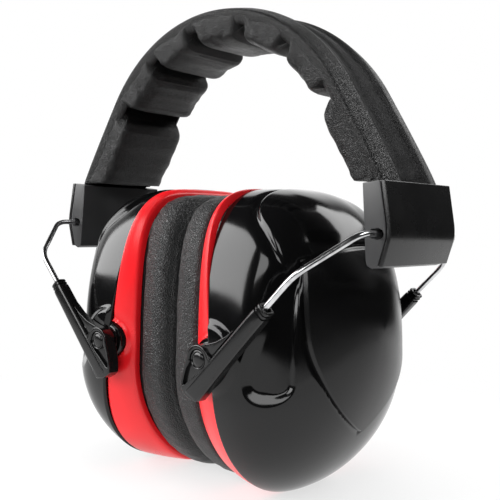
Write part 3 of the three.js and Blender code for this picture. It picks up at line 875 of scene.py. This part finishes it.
def arm_parts(end):
    """An arm: its bar, the flat base round its eye, the raised rim on that, and a web."""
    place = lambda along, above, height: from_leg(along, end * height, above)
    centre = (PIVOT_ALONG, PIVOT_ABOVE)
    eye = arc(centre, EYE_RADIUS, 200, 48, 30)
    tail = [(69.2, 7.5), (71.8, 5.9), (73.9, 4.1), (TAIL_END, 2.9), (TAIL_END, 1.4), (74.2, -1.2)]
    heel = (72.2, -3.9)
    whole = [(48, 0.5), (52, 1.9), (56, 3.2), (57.6, 4.3), *eye, *tail, heel, (60, -3.4), (48, -1)]
    base = plate(whole, [], ARM_INNER_Y, 44.7, 0.35, place)
    teardrop = [*arc(centre, 3.35, 262, 30, 34), (68.6, 6.5), (70.8, 5.35), (72.6, 4.3), (73.1, 3.6),
                (72.4, 3.2), (70.6, 3.1), (67.6, 2.7), (64.8, 2.3)]
    rim = [(57.7, 2.2), (57.9, 4.4), *eye, *tail, heel, (64, -3.0), (60.5, -1.0)]
    raised = plate(rim, [teardrop], 43.9, ARM_OUTER_Y - 0.15, 0.45, place)
    brace = [(43.5, 2.7), (48.5, 3.5), (53.0, 4.9), (56.6, 6.8), (59.0, 8.4), (58.7, 6.0), (58.0, 3.6),
             (57.0, 2.7)]
    web = plate(brace, [], ARM_INNER_Y + 0.8, 45.0, 0.3, place)
    return [arm_bar(end), base, raised, web]


def pin_part(end):
    """A pivot pin with a dished, raised-edged button on its outer end."""
    profile = [(0, PIN_INNER_Y), (PIN_RADIUS, PIN_INNER_Y), (PIN_RADIUS, 44.2), (3.1, 44.25),
               (3.1, 45.2), (2.98, 45.45), (2.75, 45.55), (2.55, 45.4), (2.4, 45.2), (2.28, 45.35),
               (2.05, 45.52), (1.2, 45.62), (0.5, 45.66), (0, 45.66)]
    return lathe_y(profile, PIVOT_X, PIVOT_Z, end, 48)


def boss_part(end):
    """The stepped round boss on the cup that a pin turns in."""
    profile = [(0, BOSS_INNER_Y), (BOSS_RADIUS + 0.3, BOSS_INNER_Y), (BOSS_RADIUS + 0.3, 39.9),
               (BOSS_RADIUS + 0.1, BOSS_STEP_Y), (BOSS_RADIUS - 0.4, BOSS_STEP_Y + 0.1),
               (BOSS_STEP_RADIUS + 0.5, BOSS_STEP_Y + 0.1), (BOSS_STEP_RADIUS + 0.1, BOSS_STEP_Y + 0.3),
               (BOSS_STEP_RADIUS, BOSS_OUTER_Y - 0.1), (BOSS_STEP_RADIUS - 0.3, BOSS_OUTER_Y),
               (0, BOSS_OUTER_Y)]
    return lathe_y(profile, PIVOT_X, PIVOT_Z, end)


def yokes_and_arms():
    wire = wire_part()
    for name, side in SIDES:
        piece(f"wire_{name}", mirrored([wire], side), STEEL, f"yoke_{name}",
              [f"wire_yoke_{name}"], 60)
        for end_name, end in ENDS:
            place = f"{end_name}_{name}"
            piece(f"arm_{place}_detail", mirrored(arm_parts(end), side), ARM_BLACK,
                  f"arms_{name}", [f"arm_{place}"], 38)
            piece(f"pivot_button_{place}", mirrored([pin_part(end)], side), ARM_BLACK,
                  f"arms_{name}", [f"pivot_pin_{place}"], 38)
            piece(f"boss_{place}", mirrored([boss_part(end)], side), GLOSS_BLACK,
                  f"cup_{name}", [f"pivot_boss_{place}"], 38)


# ---- cups ----

SHELL_TURNS, SHELL_LAYERS = 440, 160
SHELL_THICKNESS = 1.4
INNER_STEP = 4  # the shell's inner side has every fourth row of its outer side
WALL_FULLNESS = 0.9
RECESS_DEPTH = 1.5
RECESS_BOTTOM = (44.8, 42.8)  # centre of the recess's round lower end, in XZ
RECESS_TOP = (71, 84)  # the heights between which it fades out
RECESS_RADIUS = 7.0
RECESS_SLOPES = (1.0, 3.0, 4.3)  # how wide its outer, inner and lower slopes are
RECESS_HIGH_SLOPE = 7.0  # how wide the inner slope gets further up
TOWER_RADIUS, TOWER_SLOPE, TOWER_HEIGHT = 9.6, 2.8, 1.4
BROW = [(26.3, 113), (27.6, 104), (29.3, 99.5), (31.8, 95.5), (34.8, 92.3), (38.6, 89), (43.0, 83.0),
        (47.5, 75.5)]  # the crease under the upper dome, in XZ
BROW_DEPTH, BROW_STEP = 1.0, 0.35
BROW_END = (77, 86)  # the heights between which it fades out


def dome(turn, depth):
    """The shell's outer surface, as in the CAD model."""
    shrink = lambda rule: (1 - depth ** rule[0]) ** rule[1]
    scale_z = lerp(shrink(SHELL_BOTTOM), shrink(SHELL_TOP), ramp(-0.4, 0.4, np.sin(turn)))
    y, z = outline_point(SHELL_OUTLINE, turn, 0, shrink(SHELL_SIDES), scale_z)
    height = z + SHELL_OUTLINE["middle"] + SHELL_RISE * depth * (1 - scale_z)
    rim = outline_point(SHELL_OUTLINE, turn)[1] + SHELL_OUTLINE["middle"]
    x = lerp(seam_x(rim) + GAP, SHELL_DEPTH_X, depth)
    return np.stack([x, y, height], -1)


def dome_grid():
    turn = even_turns(SHELL_OUTLINE, SHELL_TURNS)[None, :]
    depth = np.sin(np.linspace(0, PI / 2, SHELL_LAYERS))[:, None]
    turn, depth = np.broadcast_arrays(turn, depth)
    return dome(turn, depth)


def normals_of(points):
    """Outward normals of a grid whose columns close on themselves."""
    around = np.roll(points, -1, axis=1) - np.roll(points, 1, axis=1)
    inward = np.gradient(points, axis=0)
    normal = np.cross(around, inward)
    length = np.linalg.norm(normal, axis=2, keepdims=True)
    normal = np.where(length > 1e-9, normal / np.maximum(length, 1e-9), (1, 0, 0))
    centre = np.array([30, 0, 50])
    if np.mean(((points - centre) * normal).sum(-1)) < 0:
        normal = -normal
    return normal


def recess_depth(x, z):
    """The pocket in the front and rear walls: its floor slopes down to a crisp outer edge."""
    cx, cz = RECESS_BOTTOM
    right = cx + RECESS_RADIUS - 0.03 * (z - cz)
    left = cx - RECESS_RADIUS + 0.05 * np.maximum(z - cz, 0)
    dx, dz = x - cx, z - cz
    reach = np.maximum(np.hypot(dx, dz), 1e-6)
    crisp, soft, end = RECESS_SLOPES
    gentle = lerp(soft, RECESS_HIGH_SLOPE, ramp(cz + 3, cz + 20, z))
    straight = np.minimum((x - left) / gentle, (right - x) / crisp)
    side_width = np.where(dx > 0, crisp, soft)
    round_end = (RECESS_RADIUS - reach) / lerp(side_width, end, (dz / reach) ** 2)
    share = np.clip(np.where(z < cz, round_end, straight), 0, 1)
    return RECESS_DEPTH * lerp(share, ramp(0, 1, share), 0.35) * (1 - ramp(*RECESS_TOP, z))


def wall_fullness(x, z):
    """The front and rear walls stay flat for longer than the plain dome does."""
    return WALL_FULLNESS * bell(x - 40, 7) * ramp(38, 56, z)


def tower_height(x, z):
    """A raised round pad behind each pivot."""
    away = np.hypot(x - PIVOT_X, z - PIVOT_Z)
    return TOWER_HEIGHT * (1 - ramp(TOWER_RADIUS, TOWER_RADIUS + TOWER_SLOPE, away))


def brow_height(x, z):
    """A crease along the brow line, with the dome standing a little above the wall beyond it."""
    away = distance_to_path(x, z, softened(BROW))
    crease = BROW_DEPTH * bell(away + 0.2, np.where(away < -0.2, 1.5, 0.7))
    step = BROW_STEP * ramp(-0.8, 1.2, away) * np.exp(-np.maximum(away, 0) / 14)
    return (step - crease) * ramp(*BROW_END, z)


SHIELD_STEPS = 24
SHIELD_CENTRE = np.array([0.0, 58.0])
SHIELD_GROOVE_DEPTH, SHIELD_GROOVE_WIDTH = 0.5, 0.55


def shield_outline():
    """The shield panel's outline in YZ, as a closed line."""
    top, half = SHIELD_TOP_HALF, SHIELD_HALF
    side_z = (SHIELD_TOP_Z + SHIELD_SHOULDER_Z) / 2
    tip_z = SHIELD_TIP_Z + 0.4 * (SHIELD_SHOULDER_Z - SHIELD_TIP_Z)
    runs = [
        ((-top, SHIELD_TOP_Z), (0, 2 * SHIELD_CROWN_Z - SHIELD_TOP_Z), (top, SHIELD_TOP_Z)),
        ((top, SHIELD_TOP_Z), (half + 1, side_z), (half, SHIELD_SHOULDER_Z)),
        ((half, SHIELD_SHOULDER_Z), (0.9 * half, tip_z), (0, SHIELD_TIP_Z)),
        ((0, SHIELD_TIP_Z), (-0.9 * half, tip_z), (-half, SHIELD_SHOULDER_Z)),
        ((-half, SHIELD_SHOULDER_Z), (-half - 1, side_z), (-top, SHIELD_TOP_Z)),
    ]
    return np.concatenate([bezier(*map(np.array, run), SHIELD_STEPS)[:-1] for run in runs])


def shell_part():
    """The shell: the dome with its details, and an inner side."""
    points = dome_grid()
    normal = normals_of(points)
    x, y, z = np.moveaxis(points, -1, 0)
    wall = ramp(0.15, 0.45, np.abs(normal[..., 1]))
    rim_fade = ramp(0.0, 1.2, x - seam_x(z) - GAP)
    lift = wall * (tower_height(x, z) * rim_fade + wall_fullness(x, z) - recess_depth(x, z))
    lift += brow_height(x, z)
    line = shield_outline()
    line = np.concatenate([line, line[:1]])
    groove = np.abs(distance_to_path(y, z, line)) - GAP
    lift -= SHIELD_GROOVE_DEPTH * bell(groove, SHIELD_GROOVE_WIDTH) * ramp(45, 49, x)
    outer = points + normal * lift[..., None]
    outer[..., 2] = np.maximum(outer[..., 2], 0)
    inner = points + normal * (np.minimum(lift, 0)[..., None] - SHELL_THICKNESS)
    inner = inner[::INNER_STEP]
    inner[0] = outer[0] - normal[0] * SHELL_THICKNESS
    inner[..., 2] = np.maximum(inner[..., 2], SHELL_THICKNESS)
    lip = outer[0] - normal[0] * 0.35, outer[0] - normal[0] * 0.08 + (0.22, 0, 0)
    return grid(np.concatenate([inner[::-1], lip, outer[1:]]))


def shield_part(surface):
    """The shield panel: a low bevelled plate that follows the shell."""
    line = shield_outline()
    reach = np.hypot(*(line - SHIELD_CENTRE).T)
    bevel = lerp(0.6, 1.3, ramp(30, 75, line[:, 1]))
    scales = [np.full(len(line), share) for share in (0, 0.15, 0.3, 0.45, 0.6, 0.72, 0.82, 0.9)]
    scales += [1 - inset * bevel / reach for inset in (1.15, 1.0, 0.8, 0.4, 0.12, 0.0)]
    rows = []
    for scale in scales:
        flat = SHIELD_CENTRE + (line - SHIELD_CENTRE) * scale[:, None]
        height = 0.25 + 0.6 * ramp(0.0, 1.0, (1 - scale) * reach / bevel)
        rows.append(on_surface(surface, flat, height))
    rows.append(on_surface(surface, line, np.full(len(line), -0.5)))
    return grid(np.array(rows), flip=True)


def on_surface(surface, flat, height):
    """Points of the shell in front of places in YZ, lifted along its normal."""
    placed = []
    for (y, z), up in zip(flat, height):
        hit, normal, _, _ = surface.ray_cast(Vector((120, y, z)), Vector((-1, 0, 0)))
        placed.append(np.array(hit) + np.array(normal) * up)
    return np.array(placed)


RING_LIP, RING_LIP_RADIUS = 0.55, 6.9  # the raised lip round each pivot
RING_WELL, RING_HOLLOW = 1.2, 0.35  # how deep the ring lies inside the lip, and just outside it


def ring_part():
    """The trim ring: a crowned band with rolled edges and a raised lip round each pivot."""
    turn = even_turns(SEAM_OUTLINE, 400)
    profile = [(-RING_THICKNESS, 0.03), (-1.2, 0.03), (-0.5, 0.035), (-0.15, 0.055), (0.0, 0.09),
               *[(0.35 * math.sin(PI * t), t) for t in np.linspace(0.13, 0.93, 22)],
               (-0.02, 0.955), (-0.2, 0.985), (-0.55, 1.0), (-RING_THICKNESS, 1.0)]
    rows = []
    for offset, share in profile:
        y0, z0 = outline_point(FACE_OUTLINE, turn, offset)
        y1, z1 = outline_point(SEAM_OUTLINE, turn, offset)
        height = lerp(z0 + FACE_OUTLINE["middle"], z1 + SEAM_OUTLINE["middle"], share)
        x = lerp(FACE_X, seam_x(height), share)
        y = lerp(y0, y1, share)
        away = np.hypot(x - PIVOT_X, height - PIVOT_Z)
        lip = RING_LIP * bell(away - RING_LIP_RADIUS, 0.55) - RING_WELL * (1 - ramp(5.8, 6.5, away))
        hollow = -RING_HOLLOW * (1 - ramp(7.4, 11, away)) * ramp(RING_LIP_RADIUS, 7.4, away)
        y = y + np.sign(y) * (lip + hollow) * (offset > -0.6)
        rows.append(np.stack([x, y, np.maximum(height, 0)], -1))
    return grid(np.array(rows), close_rows=True)


CUSHION_VOXEL = 2.5
CUSHION_SWELL = 0.6
CUSHION_MIDDLE, CUSHION_HALF_WIDTH = -7.4, 6.9  # as offsets from FACE_OUTLINE
CUSHION_GAP = 0.35  # how far it keeps from the middle plane
CROWN_POWER, BACK_POWER = 2.15, 4.2  # how square its two faces are
CROWN_FALL = 1.3  # how far the crown falls away towards the other cushion
TUCK = (12.2, 15.0)  # where in X its back edge starts and ends to tuck in
TUCK_OUTER, TUCK_INNER = 1.3, 0.6
CUSHION_SEAM = 0.5
SEAM_PLACE = 2.0  # the X of the seam between its side and its crown


def cushion_part():
    """The ear cushion: a stuffed ring with flat sides, a round crown and a tucked back edge."""
    turn = even_turns(FACE_OUTLINE, 300)
    middle_x, half_depth = (FACE_X + CUSHION_FACE_X) / 2, (FACE_X - CUSHION_FACE_X) / 2 - 0.1
    rows = []
    for angle in full_turn(120):
        c, s = math.cos(angle), math.sin(angle)
        power = CROWN_POWER if s < 0 else BACK_POWER
        x = middle_x + half_depth * squarish(s, power)
        tuck = ramp(*TUCK, x)
        side = max(0, c)
        offset = CUSHION_MIDDLE + CUSHION_HALF_WIDTH * squarish(c, power)
        offset -= TUCK_OUTER * tuck if c > 0 else -TUCK_INNER * tuck
        offset -= CROWN_FALL * side * ramp(4.6, 0.6, x)
        offset -= CUSHION_SEAM * side * bell(x - SEAM_PLACE, 0.5)
        ripple = 0.10 * np.sin(turn * 23 + 1.3) * np.sin(turn * 9) + 0.07 * np.sin(turn * 41 + x)
        y, z = outline_point(FACE_OUTLINE, turn, offset + side * (1 - tuck) * ripple)
        height = z + FACE_OUTLINE["middle"]
        rows.append(np.stack([np.full(len(turn), x), y, np.maximum(height, 0)], -1))
    return grid(np.array(rows), close_rows=True)


def plain_dome():
    """The shell's surface without its details, to lay the shield panel on."""
    mesh = mesh_of("dome", [grid(dome_grid())])
    points, faces = part_of(mesh)
    bpy.data.meshes.remove(mesh)
    return BVHTree.FromPolygons(points.tolist(), faces)


def cups():
    shell = shell_part()
    shield = shield_part(plain_dome())
    ring = ring_part()
    cushion = swelled(cushion_part(), CUSHION_VOXEL, CUSHION_SWELL)
    cushion[0][:, 2] = np.maximum(cushion[0][:, 2], 0)
    cushion[0][:, 0] = np.maximum(cushion[0][:, 0], CUSHION_GAP)
    for name, side in SIDES:
        body = f"cup_{name}"
        piece(f"shell_{name}", mirrored([shell], side), GLOSS_BLACK, body,
              [f"cup_shell_{name}"], 70)
        piece(f"shield_{name}", mirrored([shield], side), SHIELD_BLACK, body,
              [f"shield_panel_{name}"], 50)
        piece(f"ring_{name}", mirrored([ring], side), RED, body, [f"trim_ring_{name}"], 60)
        soft = piece(f"cushion_{name}", mirrored([cushion], side), GRAIN, body,
                     [f"ear_cushion_{name}"], 80)
        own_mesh(soft)


# ---- carried-over CAD nodes ----


def paint_nodes():
    finishes = {"spring_strip": SPRING}
    for name, _ in SIDES:
        finishes[f"cushion_plate_{name}"] = SATIN_BLACK
        finishes[f"foam_liner_{name}"] = FOAM
    for node, material in finishes.items():
        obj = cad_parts[node]
        obj.data.materials.clear()
        obj.data.materials.append(material)


# ---- floor, light and camera ----


def compass(azimuth, elevation):
    """A direction: azimuth 0 is towards the wearer's face, 90 towards +X, in degrees."""
    az, el = math.radians(azimuth), math.radians(elevation)
    return Vector((math.sin(az) * math.cos(el), -math.cos(az) * math.cos(el), math.sin(el)))


CAMERA_AZIMUTH, CAMERA_ELEVATION = 41.0, 2.396
CAMERA_ROLL = math.radians(1.483)
CAMERA_PLACE = (0.199705, -0.223055, 0.094083)
CAMERA_LENS = 57.84
SENSOR = 36


def camera():
    """The camera, where the photograph's stood."""
    data = bpy.data.cameras.new("camera")
    data.sensor_width = SENSOR
    data.lens = CAMERA_LENS
    data.clip_start = 0.01
    obj = new_object("camera", data)
    back = compass(CAMERA_AZIMUTH, CAMERA_ELEVATION)
    right = Vector((0, 0, 1)).cross(back).normalized()
    up = back.cross(right)
    c, s = math.cos(CAMERA_ROLL), math.sin(CAMERA_ROLL)
    across = right * c + up * s
    upward = up * c - right * s
    matrix = Matrix((across, upward, back)).transposed().to_4x4()
    matrix.translation = Vector(CAMERA_PLACE)
    obj.matrix_world = matrix
    bpy.context.scene.camera = obj


FLOOR_RADIUS = 0.5
FLOOR_DROP = 0.0004
FLOOR_CORNERS = 96
FLOOR_FADE = (0.05, 0.2)  # the distances from the middle between which it brightens


def shaders_mixed(tree, share, first, second, output):
    blend = node_in(tree, "ShaderNodeMixShader", Fac=share)
    tree.links.new(first, blend.inputs[1])
    tree.links.new(second, blend.inputs[2])
    tree.links.new(blend.outputs["Shader"], output.inputs["Surface"])


def floor():
    """A pale round floor that brightens into the background a little way out."""
    turn = full_turn(FLOOR_CORNERS)
    rim = [(FLOOR_RADIUS * math.cos(t), FLOOR_RADIUS * math.sin(t), 0) for t in turn]
    mesh = bpy.data.meshes.new("floor")
    mesh.from_pydata(rim, [], [tuple(range(FLOOR_CORNERS))])
    obj = new_object("floor", mesh)
    obj.location = (0, 0, -FLOOR_DROP)
    material, tree, shader = new_material("pale_floor", (0.9, 0.9, 0.9), 0.7, Specular_IOR_Level=0.1)
    glow = node_in(tree, "ShaderNodeEmission", Color=(1, 1, 1, 1))
    length = tree.nodes.new("ShaderNodeVectorMath")
    length.operation = "LENGTH"
    tree.links.new(place_in(tree), length.inputs[0])
    outer = ranged(tree, length.outputs["Value"], 0.7, 1, *FLOOR_FADE)
    outer.node.interpolation_type = "SMOOTHSTEP"
    shaders_mixed(tree, outer, shader.outputs["BSDF"], glow.outputs["Emission"],
                  tree.nodes["Material Output"])
    mesh.materials.append(material)


LIGHT_TARGET = Vector((0, 0, 0.08))
# name: azimuth, elevation, distance, width, height, radiance
SOFTBOXES = {
    "left_front": (-44, 27, 1.2, 1.15, 0.85, 6.3),
    "behind_right": (140, 42, 1.2, 1.45, 0.45, 4.0),
    "near_camera": (25, 29, 1.2, 0.58, 0.46, 4.5),
    "overhead": (0, 90, 1.3, 1.2, 1.2, 3.2),
}
BACKDROP_AZIMUTH = -125
BACKDROP_TOP = 0.6  # the sine of the elevation where the bright backdrop ends
BACKDROP_LIGHT, ROOM_LIGHT = 1.3, 0.03


def softbox(name, azimuth, elevation, distance, width, height, radiance):
    """A rectangular soft light of a given brightness, facing the object."""
    data = bpy.data.lights.new(name, "AREA")
    data.shape = "RECTANGLE"
    data.size, data.size_y = width, height
    data.energy = radiance * PI * width * height
    obj = new_object(name, data)
    away = compass(azimuth, elevation)
    obj.location = LIGHT_TARGET + away * distance
    obj.rotation_euler = (-away).to_track_quat("-Z", "Y").to_euler()
    return obj


def backdrop(tree):
    """How bright the room is by direction: dark, with a bright sweep behind the object."""
    coordinates = tree.nodes.new("ShaderNodeTexCoord")
    facing = tree.nodes.new("ShaderNodeVectorMath")
    facing.operation = "DOT_PRODUCT"
    facing.inputs[1].default_value = compass(BACKDROP_AZIMUTH, 0)
    tree.links.new(coordinates.outputs["Generated"], facing.inputs[0])
    height = node_in(tree, "ShaderNodeSeparateXYZ", Vector=coordinates.outputs["Generated"])
    sideways = ranged(tree, facing.outputs["Value"], 0, 1, 0.5, 0.75)
    below_top = ranged(tree, height.outputs["Z"], 1, 0, BACKDROP_TOP - 0.05, BACKDROP_TOP)
    bright = mixed(tree, "MULTIPLY", sideways, below_top)
    return mixed(tree, "MULTIPLY_ADD", bright, BACKDROP_LIGHT, ROOM_LIGHT)


def studio():
    """Four soft lights in a dark room whose walls the camera sees as white."""
    for name, rule in SOFTBOXES.items():
        lamp = softbox(name, *rule)
        lamp.visible_glossy = name != "overhead"
    world = bpy.data.worlds.new("studio")
    bpy.context.scene.world = world
    world.use_nodes = True
    tree = world.node_tree
    tree.nodes.clear()
    seen = node_in(tree, "ShaderNodeBackground", Color=(1, 1, 1, 1))
    room = node_in(tree, "ShaderNodeBackground", Color=backdrop(tree))
    camera_ray = tree.nodes.new("ShaderNodeLightPath").outputs["Is Camera Ray"]
    shaders_mixed(tree, camera_ray, room.outputs["Background"], seen.outputs["Background"],
                  tree.nodes.new("ShaderNodeOutputWorld"))
    view = bpy.context.scene.view_settings
    view.view_transform = "Standard"
    view.look = "None"


camera()
floor()
studio()
edge_strips()
headband_cover()
headband_pads()
end_caps()
yokes_and_arms()
cups()
paint_nodes()
